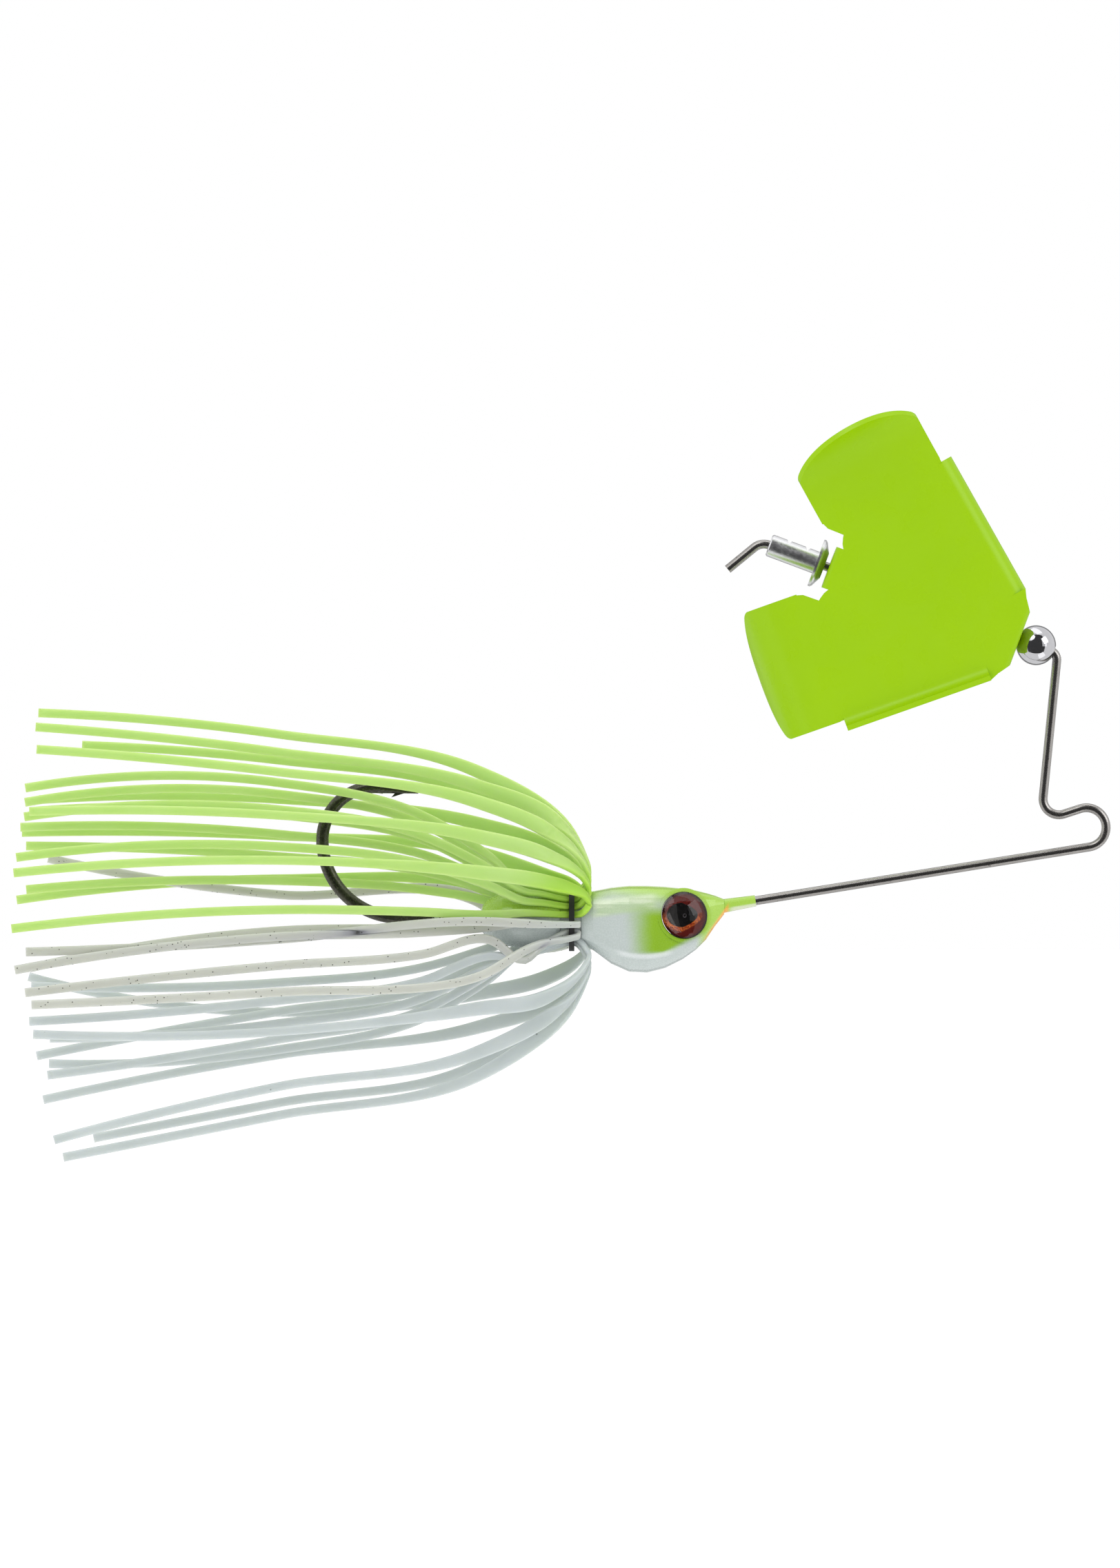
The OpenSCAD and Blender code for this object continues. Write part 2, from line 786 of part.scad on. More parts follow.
// length of the path up to each of its points
function lengths(path) = [
  for (i = 0, sum = 0; i < len(path); sum = sum + norm(path[min(i + 1, len(path) - 1)] - path[i]),
    i = i + 1)
    sum
];

// a strand's width at a distance from its root
function width_at(away, fold_w) =
  strand_root_w
  + (fold_w - strand_root_w) * share(away, 2, 8)
  + (strand_w - fold_w) * share(away, 12, 34);

function ahead_at(path, i) = unit(path[min(i + 1, len(path) - 1)] - path[max(i - 1, 0)]);
function around_at(path, i) = unit([0, axis_z - path[i][2], path[i][1]]);
function upright_at(path, i) = unit(cross(ahead_at(path, i), [0, 1, 0]));
function facing(path, i) = around_at(path, i) * upright_at(path, i) < 0 ? -1 : 1;

// the flat strand's four corners at a point: its width lies round the collar near the root, and
// turns upright further out
turn_from = 5.5;
turn_to = 15;
function strand_ring(path, i, away, side, fold_w) =
  let (
    ahead = ahead_at(path, i),
    turned = share(away, turn_from, turn_to),
    across = around_at(path, i) * (1 - turned) + upright_at(path, i) * turned * side,
    wide = unit(across - (across * ahead) * ahead) * width_at(away, fold_w) / 2,
    thick = unit(cross(ahead, wide)) * strand_t / 2
  )
  [path[i] + wide + thick, path[i] + wide - thick, path[i] - wide - thick, path[i] - wide + thick];

module strand(n) {
  path = smooth_path(strand_knots(n));
  root = root_index(n);
  run = lengths(path);
  fold_w = shut(n) ? strand_w : strand_fold_w;
  front_turn = max([for (i = [0 : root]) if (run[root] - run[i] > turn_from) i]);
  rear_turn = min([for (i = [root : len(path) - 1]) if (run[i] - run[root] > turn_from) i]);
  loft([
    for (i = [0 : len(path) - 1])
      strand_ring(
        path,
        i,
        abs(run[i] - run[root]),
        facing(path, i < root ? front_turn : rear_turn),
        i < root ? fold_w : strand_w
      )
  ]);
}

module skirt_strand_01() { color(CHARTREUSE) strand(0); }
module skirt_strand_02() { color(CHARTREUSE) strand(1); }
module skirt_strand_03() { color(CHARTREUSE) strand(2); }
module skirt_strand_04() { color(CHARTREUSE) strand(3); }
module skirt_strand_05() { color(CHARTREUSE) strand(4); }
module skirt_strand_06() { color(CHARTREUSE) strand(5); }
module skirt_strand_07() { color(CHARTREUSE) strand(6); }
module skirt_strand_08() { color(CHARTREUSE) strand(7); }
module skirt_strand_09() { color(CHARTREUSE) strand(8); }
module skirt_strand_10() { color(SPECKLED) strand(9); }
module skirt_strand_11() { color(PEARL) strand(10); }
module skirt_strand_12() { color(PEARL) strand(11); }
module skirt_strand_13() { color(PEARL) strand(12); }
module skirt_strand_14() { color(PEARL) strand(13); }
module skirt_strand_15() { color(PEARL) strand(14); }
module skirt_strand_16() { color(PEARL) strand(15); }
module skirt_strand_17() { color(SPECKLED) strand(16); }
module skirt_strand_18() { color(SPECKLED) strand(17); }

wire_frame();
bead();
blade();
rivet();
head_casting();
hook();
eye_disc_right();
eye_disc_left();
eye_dome_right();
eye_dome_left();
skirt_band();
skirt_strand_01();
skirt_strand_02();
skirt_strand_03();
skirt_strand_04();
skirt_strand_05();
skirt_strand_06();
skirt_strand_07();
skirt_strand_08();
skirt_strand_09();
skirt_strand_10();
skirt_strand_11();
skirt_strand_12();
skirt_strand_13();
skirt_strand_14();
skirt_strand_15();
skirt_strand_16();
skirt_strand_17();
skirt_strand_18();
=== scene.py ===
"""The looks of the double-wing buzzbait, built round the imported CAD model. Metres throughout."""

import math

import bpy
from mathutils import Matrix, Vector


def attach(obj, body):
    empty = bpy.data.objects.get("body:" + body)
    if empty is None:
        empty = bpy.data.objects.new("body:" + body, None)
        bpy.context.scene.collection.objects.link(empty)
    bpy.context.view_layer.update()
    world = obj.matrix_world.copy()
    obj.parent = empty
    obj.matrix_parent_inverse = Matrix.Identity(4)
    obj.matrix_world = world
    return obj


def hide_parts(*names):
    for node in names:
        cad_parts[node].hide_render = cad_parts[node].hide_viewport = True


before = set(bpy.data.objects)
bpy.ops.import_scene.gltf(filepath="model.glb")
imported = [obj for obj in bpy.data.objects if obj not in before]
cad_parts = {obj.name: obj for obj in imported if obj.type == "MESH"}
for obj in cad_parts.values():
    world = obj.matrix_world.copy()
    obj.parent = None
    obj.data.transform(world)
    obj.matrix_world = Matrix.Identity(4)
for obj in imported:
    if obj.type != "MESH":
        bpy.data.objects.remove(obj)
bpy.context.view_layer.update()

MM = 0.001

# the middle of the lure, which the lights face
MIDDLE = Vector((-0.055, 0, 0.005))


# ---- camera, light and ground ----


def make_camera():
    """Square on to the lure's right side, with the lure placed in the frame as photographed."""
    data = bpy.data.cameras.new("camera")
    data.sensor_fit = "AUTO"
    data.sensor_width = 36.0
    distance = 1.6
    frame_height = 174.9 * MM
    data.lens = data.sensor_width * distance / frame_height
    data.clip_start = 0.05
    data.clip_end = 20.0
    camera = bpy.data.objects.new("camera", data)
    bpy.context.scene.collection.objects.link(camera)
    camera.location = (-58.7 * MM, -distance, 4.85 * MM)
    camera.rotation_euler = (math.radians(90), 0, 0)
    bpy.context.scene.camera = camera
    bpy.context.scene.view_settings.view_transform = "Standard"
    bpy.context.scene.view_settings.look = "None"


def area_light(name, location, size, power):
    """A softbox that faces the middle of the lure."""
    data = bpy.data.lights.new(name, "AREA")
    data.shape = "RECTANGLE"
    data.size = size[0]
    data.size_y = size[1]
    data.energy = power
    light = bpy.data.objects.new(name, data)
    bpy.context.scene.collection.objects.link(light)
    light.location = location
    towards = MIDDLE - Vector(location)
    light.rotation_euler = towards.to_track_quat("-Z", "Y").to_euler()


def make_lights():
    area_light("key", (-0.45, -0.70, 0.75), (0.6, 0.6), 1.6)
    area_light("fill", (0.75, -0.65, 0.25), (0.5, 0.7), 0.7)
    area_light("top", (0.0, 0.05, 0.95), (0.9, 0.5), 1.0)
    world = bpy.data.worlds.new("studio")
    world.use_nodes = True
    background = world.node_tree.nodes["Background"]
    background.inputs["Color"].default_value = (1, 1, 1, 1)
    background.inputs["Strength"].default_value = 1.0
    bpy.context.scene.world = world


def make_ground():
    """A pale round floor, far larger than the lure."""
    floor_z = -0.060
    floor_r = 4.0
    corners = 64
    verts = [(0, 0, floor_z)]
    for i in range(corners):
        a = 2 * math.pi * i / corners
        verts.append((floor_r * math.cos(a), floor_r * math.sin(a), floor_z))
    faces = [(0, 1 + i, 1 + (i + 1) % corners) for i in range(corners)]
    ground = mesh_object("ground", verts, faces)
    ground.data.materials.append(ground_material())
    ground.visible_glossy = False


def reflector(name, verts, faces, material):
    """A studio card that shows only in reflections and through the eyes' clear resin."""
    card = mesh_object(name, verts, faces, smooth=False)
    card.data.materials.append(material)
    card.visible_camera = False
    card.visible_diffuse = False
    card.visible_shadow = False


def softbox(name, off_axis, heading, half, glow):
    """A bright square card: off_axis degrees off the camera's axis, at a heading round it."""
    aim = Vector((-0.03, 0, 0.01))
    distance = 0.8
    a, h = math.radians(off_axis), math.radians(heading)
    away = Vector((math.sin(a) * math.cos(h), -math.cos(a), math.sin(a) * math.sin(h)))
    across = away.cross(Vector((0, 1, 0))).normalized()
    upward = across.cross(away).normalized()
    centre = aim + away * distance
    corners = []
    for s, t in ((-1, -1), (1, -1), (1, 1), (-1, 1)):
        corners.append(centre + across * (s * half) + upward * (t * half))
    reflector(name, corners, [(0, 1, 2, 3)], card_material(name, glow))


def make_reflectors():
    """The dark room round the camera, three softboxes and the grey rim of the backdrop."""
    opening_y = -0.9
    left, right, bottom, top = -1.25, 1.15, -1.0, 1.9
    opening = [(left, opening_y, bottom), (right, opening_y, bottom)]
    opening += [(right, opening_y, top), (left, opening_y, top)]
    reflector("camera_opening", opening, [(0, 1, 2, 3)], card_material("studio_black", 0.05))
    softbox("softbox_right", 62, 30, 0.22, 2.8)
    softbox("softbox_left", 55, 112, 0.16, 2.5)
    softbox("softbox_low", 70, 300, 0.22, 1.6)
    surround_y = 0.5
    radii = (0.18, 0.5)
    corners = 32
    verts = []
    for r in radii:
        for i in range(corners):
            a = 2 * math.pi * i / corners
            verts.append((r * math.cos(a) + MIDDLE.x, surround_y, r * math.sin(a)))
    faces = []
    for i in range(corners):
        j = (i + 1) % corners
        faces.append((i, j, corners + j, corners + i))
    reflector("backdrop_surround", verts, faces, card_material("studio_grey", 0.3))


# ---- mesh helpers ----


def mesh_object(name, verts, faces, smooth=True):
    mesh = bpy.data.meshes.new(name)
    mesh.from_pydata([tuple(v) for v in verts], [], faces)
    mesh.validate()
    mesh.update()
    if smooth:
        mesh.shade_smooth()
    obj = bpy.data.objects.new(name, mesh)
    bpy.context.scene.collection.objects.link(obj)
    return obj


def loft(rings):
    """Closed skin over rings of equally many points; returns vertices and faces."""
    n = len(rings[0])
    verts = [p for ring in rings for p in ring]
    faces = []
    for k in range(len(rings) - 1):
        for i in range(n):
            j = (i + 1) % n
            faces.append((k * n + i, k * n + j, (k + 1) * n + j, (k + 1) * n + i))
    faces.append(tuple(reversed(range(n))))
    faces.append(tuple((len(rings) - 1) * n + i for i in range(n)))
    return verts, faces


# ---- material helpers ----


class Nodes:
    """A short way to write a material's nodes."""

    def __init__(self, name):
        self.material = bpy.data.materials.new(name)
        self.material.use_nodes = True
        self.tree = self.material.node_tree
        self.tree.nodes.clear()
        self.output = self.add("ShaderNodeOutputMaterial")
        self.shader = self.add("ShaderNodeBsdfPrincipled")
        self.link(self.shader.outputs["BSDF"], self.output.inputs["Surface"])

    def add(self, kind, **settings):
        node = self.tree.nodes.new(kind)
        for key, value in settings.items():
            setattr(node, key, value)
        return node

    def link(self, source, target):
        self.tree.links.new(source, target)

    def put(self, target, value):
        """Link a node's output to a socket, or set the socket to a plain value."""
        if hasattr(value, "is_linked"):
            self.link(value, target)
        else:
            target.default_value = value

    def set(self, **values):
        """Values of the shader's sockets, named with _ for each space."""
        for key, value in values.items():
            self.put(self.shader.inputs[key.replace("_", " ")], value)

    def place(self):
        return self.add("ShaderNodeTexCoord").outputs["Object"]

    def axis(self, name):
        """One coordinate of the place, in metres."""
        split = self.add("ShaderNodeSeparateXYZ")
        self.link(self.place(), split.inputs["Vector"])
        return split.outputs[name]

    def noise(self, size_mm, detail=2.0, roughness=0.5, stretch=(1, 1, 1)):
        mapping = self.add("ShaderNodeMapping")
        self.link(self.place(), mapping.inputs["Vector"])
        mapping.inputs["Scale"].default_value = stretch
        node = self.add("ShaderNodeTexNoise")
        self.link(mapping.outputs["Vector"], node.inputs["Vector"])
        node.inputs["Scale"].default_value = 1000.0 / size_mm
        node.inputs["Detail"].default_value = detail
        node.inputs["Roughness"].default_value = roughness
        return node.outputs["Fac"]

    def cells(self, size_mm, output="Distance"):
        node = self.add("ShaderNodeTexVoronoi")
        self.link(self.place(), node.inputs["Vector"])
        node.inputs["Scale"].default_value = 1000.0 / size_mm
        return node.outputs[output]

    def math(self, operation, a, b=0.0, c=0.0):
        node = self.add("ShaderNodeMath", operation=operation)
        for socket, value in zip(node.inputs, (a, b, c)):
            self.put(socket, value)
        return node.outputs[0]

    def ramp(self, value, low, high, to_low=0.0, to_high=1.0):
        """Smooth change from to_low to to_high while the value goes from low to high."""
        node = self.add("ShaderNodeMapRange", interpolation_type="SMOOTHSTEP")
        self.put(node.inputs["Value"], value)
        node.inputs["From Min"].default_value = low
        node.inputs["From Max"].default_value = high
        node.inputs["To Min"].default_value = to_low
        node.inputs["To Max"].default_value = to_high
        return node.outputs["Result"]

    def mix(self, share, a, b):
        node = self.add("ShaderNodeMix", data_type="RGBA")
        self.put(node.inputs["Factor"], share)
        for socket, value in ((node.inputs["A"], a), (node.inputs["B"], b)):
            if isinstance(value, tuple) and len(value) == 3:
                value = (*value, 1)
            self.put(socket, value)
        return node.outputs["Result"]

    def bump(self, height, distance_mm, strength):
        node = self.add("ShaderNodeBump")
        self.put(node.inputs["Height"], height)
        node.inputs["Distance"].default_value = distance_mm * MM
        node.inputs["Strength"].default_value = strength
        self.link(node.outputs["Normal"], self.shader.inputs["Normal"])


def ground_material():
    m = Nodes("ground_paper")
    grain = m.noise(3.0, 3.0)
    m.set(Base_Color=m.mix(grain, (0.92, 0.92, 0.92), (0.95, 0.95, 0.95)), Roughness=0.9)
    m.set(Emission_Color=(1, 1, 1, 1), Emission_Strength=0.12)
    return m.material


def card_material(name, glow):
    m = Nodes(name)
    m.set(Base_Color=(0.01, 0.01, 0.011, 1), Roughness=1.0, Specular_IOR_Level=0.0)
    m.set(Emission_Color=(1, 1, 1, 1), Emission_Strength=glow)
    return m.material


def wire_material():
    """Drawn stainless wire: grey, with fine scratches and a few dark specks."""
    m = Nodes("drawn_stainless")
    fine = m.noise(0.12, 4.0, 0.6)
    broad = m.noise(2.5, 2.0)
    dark = m.ramp(m.noise(0.5, 3.0, 0.7), 0.62, 0.75)
    colour = m.mix(broad, (0.30, 0.285, 0.27), (0.42, 0.405, 0.39))
    m.set(
        Base_Color=m.mix(dark, colour, (0.16, 0.15, 0.14)),
        Metallic=1.0,
        Roughness=m.ramp(fine, 0.3, 0.7, 0.2, 0.32),
    )
    m.bump(fine, 0.01, 0.4)
    return m.material


def bead_material():
    """Polished nickel with slight wear."""
    m = Nodes("bead_nickel")
    wear = m.noise(0.6, 4.0, 0.6)
    m.set(
        Base_Color=m.mix(wear, (0.50, 0.50, 0.52), (0.62, 0.62, 0.64)),
        Metallic=1.0,
        Roughness=m.ramp(wear, 0.3, 0.8, 0.04, 0.12),
    )
    m.bump(wear, 0.003, 0.3)
    return m.material


def rivet_material():
    """Bright aluminium, dulled by handling marks."""
    m = Nodes("rivet_aluminium")
    marks = m.noise(0.35, 4.0, 0.65)
    m.set(
        Base_Color=m.mix(marks, (0.66, 0.66, 0.68), (0.84, 0.84, 0.86)),
        Metallic=1.0,
        Roughness=m.ramp(marks, 0.3, 0.75, 0.28, 0.42),
    )
    m.bump(marks, 0.012, 0.5)
    return m.material


def hook_material():
    """Black nickel over forged steel; the shank behind the keeper carries the head's paint."""
    m = Nodes("black_nickel")
    x = m.axis("X")
    z = m.axis("Z")
    drift = m.noise(1.6, 3.0, 0.6)
    rub = m.ramp(m.noise(0.3, 4.0, 0.7), 0.45, 0.75)
    nickel = m.mix(drift, (0.045, 0.045, 0.036), (0.10, 0.098, 0.075))
    nickel = m.mix(rub, nickel, (0.15, 0.145, 0.12))
    overspray = m.math("MULTIPLY", m.math("SUBTRACT", m.noise(0.25, 2.0), 0.5), 4.5 * MM)
    painted = m.ramp(m.math("ADD", x, overspray), -72.6 * MM, -72.2 * MM)
    top = m.ramp(z, -10.2 * MM, -9.8 * MM)
    paint = m.mix(top, (0.46, 0.52, 0.48), (0.36, 0.56, 0.12))
    m.set(
        Base_Color=m.mix(painted, nickel, paint),
        Metallic=m.math("MULTIPLY_ADD", painted, -0.9, 0.9),
        Roughness=m.ramp(drift, 0.3, 0.7, 0.2, 0.36),
    )
    m.bump(rub, 0.01, 0.3)
    return m.material


def blade_material():
    """Powder-like chartreuse paint on aluminium with soft orange peel and a few dark specks."""
    m = Nodes("blade_paint")
    drift = m.noise(14.0, 2.0)
    specks = m.ramp(m.cells(2.6), 0.035, 0.05, 1.0, 0.0)
    rare = m.ramp(m.noise(5.0, 1.0), 0.60, 0.64)
    colour = m.mix(drift, (0.275, 0.510, 0.0), (0.310, 0.550, 0.0))
    colour = m.mix(m.math("MULTIPLY", specks, rare), colour, (0.10, 0.20, 0.01))
    peel = m.noise(2.4, 2.0, 0.5)
    m.set(
        Base_Color=colour,
        Roughness=m.ramp(peel, 0.3, 0.7, 0.26, 0.32),
        Specular_IOR_Level=0.22,
    )
    m.bump(peel, 0.004, 0.3)
    return m.material


def head_back(m, x, z, drift):
    """The back: everything above a line that drops towards the nose and towards the collar."""
    line = m.math("MULTIPLY_ADD", x, -0.13, -14.1 * MM)
    line = m.math("SUBTRACT", line, m.ramp(x, -53.0 * MM, -56.5 * MM, 0.0, 1.4 * MM))
    above = m.math("ADD", m.math("SUBTRACT", z, line), m.math("MULTIPLY", drift, 0.7))
    return m.ramp(above, -1.3 * MM, 1.0 * MM)


def head_blotch(m, x, z, drift):
    """Behind and below the eye: fades to the rear, and its lower edge rises towards the nose."""
    fade = m.ramp(m.math("ADD", x, m.math("MULTIPLY", drift, 1.2)), -51.8 * MM, -48.0 * MM)
    past_eye = m.math("MAXIMUM", m.math("ADD", x, 47.2 * MM), 0.0)
    low_line = m.math("MULTIPLY_ADD", past_eye, 0.52, -14.3 * MM)
    over = m.ramp(m.math("SUBTRACT", z, low_line), -0.2 * MM, 0.7 * MM)
    under = m.ramp(z, -8.0 * MM, -10.0 * MM)
    return m.math("MULTIPLY", m.math("MULTIPLY", fade, over), under)


def head_ridge_highlight(m, x, z):
    """A painted highlight along the ridge where the flat side turns into the belly."""
    from_middle = m.math("ADD", x, 49.3 * MM)
    line = m.math("MULTIPLY_ADD", m.math("MULTIPLY", from_middle, from_middle), 55.0, -14.35 * MM)
    off_line = m.math("ABSOLUTE", m.math("SUBTRACT", z, line))
    ends = m.ramp(m.math("ABSOLUTE", from_middle), 2.2 * MM, 3.6 * MM, 1.0, 0.0)
    return m.math("MULTIPLY", m.ramp(off_line, 0.05 * MM, 0.45 * MM, 1.0, 0.0), ends)


def head_shoulder(m, x, z):
    """A band along the shoulder, from the collar to behind the eye."""
    middle = m.math("MULTIPLY_ADD", m.math("ADD", x, 51.0 * MM), 0.12, -8.6 * MM)
    off_middle = m.math("ABSOLUTE", m.math("SUBTRACT", z, middle))
    shoulder = m.ramp(off_middle, 0.5 * MM, 1.2 * MM, 1.0, 0.0)
    shoulder = m.math("MULTIPLY", shoulder, m.ramp(x, -48.8 * MM, -47.6 * MM, 1.0, 0.0))
    return m.math("MULTIPLY", shoulder, m.ramp(x, -55.6 * MM, -54.2 * MM))


def head_throat(m, x, z):
    """The throat's orange edge, below and in front."""
    above_line = m.math("SUBTRACT", z, m.math("MULTIPLY_ADD", x, 1.42, 47.7 * MM))
    throat = m.ramp(above_line, 0.2 * MM, 0.8 * MM, 1.0, 0.0)
    throat = m.math("MULTIPLY", throat, m.ramp(x, -43.2 * MM, -41.8 * MM))
    return m.math("MULTIPLY", throat, m.ramp(x, -40.2 * MM, -39.7 * MM, 1.0, 0.0))


def neck_underside(m, x, z):
    """The pale underside of the neck."""
    above_middle = m.math("SUBTRACT", z, m.math("MULTIPLY_ADD", x, 0.161, -2.28 * MM))
    under = m.ramp(above_middle, -0.1 * MM, -0.4 * MM)
    return m.math("MULTIPLY", under, m.ramp(x, -40.2 * MM, -39.2 * MM))


def head_material():
    """Airbrushed head: chartreuse back and nose, pearl rear and belly, orange throat."""
    m = Nodes("head_paint")
    x = m.axis("X")
    z = m.axis("Z")
    soft = m.noise(4.0, 2.0)
    drift = m.math("MULTIPLY", m.math("SUBTRACT", soft, 0.5), 1.4 * MM)
    grain = m.noise(0.18, 3.0, 0.7)
    pearl = m.mix(grain, (0.44, 0.50, 0.48), (0.50, 0.55, 0.54))
    green = m.mix(soft, (0.33, 0.56, 0.05), (0.38, 0.60, 0.08))
    deep_green = m.mix(soft, (0.20, 0.39, 0.008), (0.26, 0.46, 0.015))
    highlight_streak_pale = (0.62, 0.70, 0.52)
    ridge_highlight_white = (0.68, 0.72, 0.72)
    neck_pale = (0.60, 0.66, 0.46)
    orange = (0.80, 0.40, 0.06)

    shoulder = head_shoulder(m, x, z)
    # painted highlight: pale streaks along the shoulder band
    shoulder_highlight_streaks = m.ramp(m.noise(1.8, 3.0, 0.6, stretch=(0.2, 1, 1.6)), 0.46, 0.62)
    shoulder_highlight_streaks = m.math("MULTIPLY", shoulder_highlight_streaks, shoulder)
    nose = m.ramp(m.math("ADD", x, drift), -43.9 * MM, -42.2 * MM)

    # the keeper bulb is green above its middle and white below
    bulb_top = m.ramp(m.math("ADD", z, drift), -10.3 * MM, -9.5 * MM)
    on_bulb = m.ramp(x, -57.2 * MM, -56.4 * MM, 1.0, 0.0)

    colour = m.mix(m.math("MULTIPLY", shoulder, 0.35), pearl, green)
    colour = m.mix(head_blotch(m, x, z, drift), colour, deep_green)
    colour = m.mix(head_back(m, x, z, drift), colour, green)
    colour = m.mix(m.math("MULTIPLY", shoulder_highlight_streaks, 0.75), colour, highlight_streak_pale)
    # painted highlight: a pale line along the belly ridge
    colour = m.mix(m.math("MULTIPLY", head_ridge_highlight(m, x, z), 0.7), colour, ridge_highlight_white)
    colour = m.mix(nose, colour, green)
    colour = m.mix(neck_underside(m, x, z), colour, neck_pale)
    colour = m.mix(head_throat(m, x, z), colour, orange)
    colour = m.mix(on_bulb, colour, m.mix(bulb_top, pearl, green))
    m.set(
        Base_Color=colour,
        Roughness=m.ramp(grain, 0.2, 0.8, 0.22, 0.32),
        Coat_Weight=0.4,
        Coat_Roughness=0.08,
    )
    m.bump(m.noise(0.9, 3.0, 0.55), 0.03, 0.35)
    return m.material


# the floor of an eye's socket, as in the CAD model: its middle in mm, and in degrees how far it is
# turned towards the nose and leaned upwards
EYE_X = -44.94
EYE_Z = -9.8
EYE_FLOOR = 2.75
EYE_YAW = 14
EYE_LEAN = 7


def eye_frame(m, right):
    """Coordinates on an eye's face in metres: towards the nose and up."""
    side = -1 if right else 1
    out = Vector((0, side, 0))
    out.rotate(Matrix.Rotation(math.radians(EYE_YAW) * -side, 3, "Z"))
    out.rotate(Matrix.Rotation(math.radians(EYE_LEAN) * -side, 3, "X"))
    ahead = (Vector((1, 0, 0)) - out * out.x).normalized()
    up = ahead.cross(out) * side
    middle = Vector((EYE_X * MM, side * EYE_FLOOR * MM, EYE_Z * MM))
    offset = m.add("ShaderNodeVectorMath", operation="SUBTRACT")
    m.link(m.place(), offset.inputs[0])
    offset.inputs[1].default_value = middle
    axes = []
    for direction in (ahead, up):
        dot = m.add("ShaderNodeVectorMath", operation="DOT_PRODUCT")
        m.link(offset.outputs[0], dot.inputs[0])
        dot.inputs[1].default_value = direction
        axes.append(dot.outputs["Value"])
    return axes


def eye_material(name, right):
    """Printed foil: a red-brown iris, an orange glitter crescent and a black pointed pupil."""
    m = Nodes(name)
    ahead, up = eye_frame(m, right)
    r2 = m.math("ADD", m.math("MULTIPLY", ahead, ahead), m.math("MULTIPLY", up, up))
    r = m.math("SQRT", r2)
    foil = m.noise(0.12, 3.0, 0.7)
    glitter = m.ramp(m.cells(0.14, "Color"), 0.25, 0.75)
    rim = m.ramp(r, 2.05 * MM, 2.5 * MM)
    iris = m.mix(foil, (0.12, 0.007, 0.005), (0.22, 0.016, 0.009))
    iris = m.mix(rim, iris, (0.022, 0.004, 0.003))

    # the pupil is an ellipse with a point towards the nose
    px = m.math("DIVIDE", m.math("SUBTRACT", ahead, -0.28 * MM), 1.72 * MM)
    taper = m.math("MULTIPLY_ADD", m.math("MAXIMUM", px, 0.0), 0.4, 1.0)
    pz = m.math("MULTIPLY", m.math("DIVIDE", m.math("SUBTRACT", up, 0.08 * MM), 1.28 * MM), taper)
    pupil_r = m.math("ADD", m.math("MULTIPLY", px, px), m.math("MULTIPLY", pz, pz))
    pupil = m.ramp(pupil_r, 0.92, 1.04, 1.0, 0.0)
    halo = m.math("MULTIPLY", m.ramp(pupil_r, 1.95, 1.5), m.ramp(up, 0.6 * MM, -0.7 * MM))
    orange = m.mix(glitter, (0.42, 0.05, 0.010), (0.90, 0.24, 0.04))

    # a pin-sized ring in the middle of the pupil
    pin = m.math("ABSOLUTE", m.math("SUBTRACT", r, 0.17 * MM))
    pin = m.ramp(pin, 0.03 * MM, 0.06 * MM, 1.0, 0.0)

    colour = m.mix(halo, iris, orange)
    colour = m.mix(pupil, colour, (0.002, 0.002, 0.0025))
    colour = m.mix(pin, colour, (0.10, 0.10, 0.11))
    m.set(
        Base_Color=colour,
        Specular_IOR_Level=0.1,
        Roughness=m.ramp(foil, 0.2, 0.8, 0.35, 0.5),
    )
    m.bump(foil, 0.01, 0.3)
    return m.material


def resin_material():
    """The clear domed resin over each eye."""
    m = Nodes("eye_resin")
    ripple = m.noise(1.2, 2.0)
    m.set(
        Base_Color=m.mix(ripple, (1.0, 0.97, 0.95), (0.98, 0.94, 0.92)),
        Roughness=m.ramp(ripple, 0.3, 0.7, 0.0, 0.03),
        Transmission_Weight=1.0,
        IOR=1.42,
    )
    m.bump(ripple, 0.01, 0.15)
    return m.material


def band_material():
    """Black rubber with a fine grain."""
    m = Nodes("band_rubber")
    grain = m.noise(0.1, 3.0)
    m.set(Base_Color=m.mix(grain, (0.008, 0.008, 0.009), (0.022, 0.022, 0.023)), Roughness=0.55)
    m.bump(grain, 0.02, 0.5)
    return m.material


def strand_material(name, light, dark, root, speck_size, speck_share, speck_colour):
    """Satin silicone, slightly uneven, with painted shade where the strands crowd near the band,
    and flecks inside.
    """
    m = Nodes(name)
    drift = m.noise(5.0, 3.0)
    base = m.mix(drift, light, dark)
    # painted shade: the root colour darkens the strands where they crowd near the band
    near_band = m.ramp(m.axis("X"), -65 * MM, -58 * MM)
    painted_crowd_shade = m.math("MULTIPLY", near_band, m.ramp(m.axis("Z"), -2.5 * MM, -7 * MM))
    base = m.mix(m.math("MULTIPLY", painted_crowd_shade, 0.8), base, root)
    flecks = m.ramp(m.cells(speck_size), 0.10, 0.16, 1.0, 0.0)
    where = m.ramp(m.noise(1.3, 2.0), 1 - speck_share - 0.03, 1 - speck_share + 0.03)
    colour = m.mix(m.math("MULTIPLY", flecks, where), base, speck_colour)
    fine = m.noise(0.35, 3.0, 0.6)
    m.set(
        Base_Color=colour,
        Roughness=m.ramp(fine, 0.3, 0.7, 0.38, 0.52),
        Specular_IOR_Level=0.35,
        Subsurface_Weight=0.9,
        Subsurface_Radius=(1.0, 1.0, 0.8),
        Subsurface_Scale=1.2 * MM,
        IOR=1.41,
    )
    m.bump(fine, 0.012, 0.4)
    return m.material


# ---- skirt ----

# The skirt follows the CAD model's strands, with sizes in mm and angles in degrees.
# the axis, the band, and how far from the axis the strands' roots are
AXIS_Z = -10.2
BAND_X = -57.4
ROOT_R = 2.75

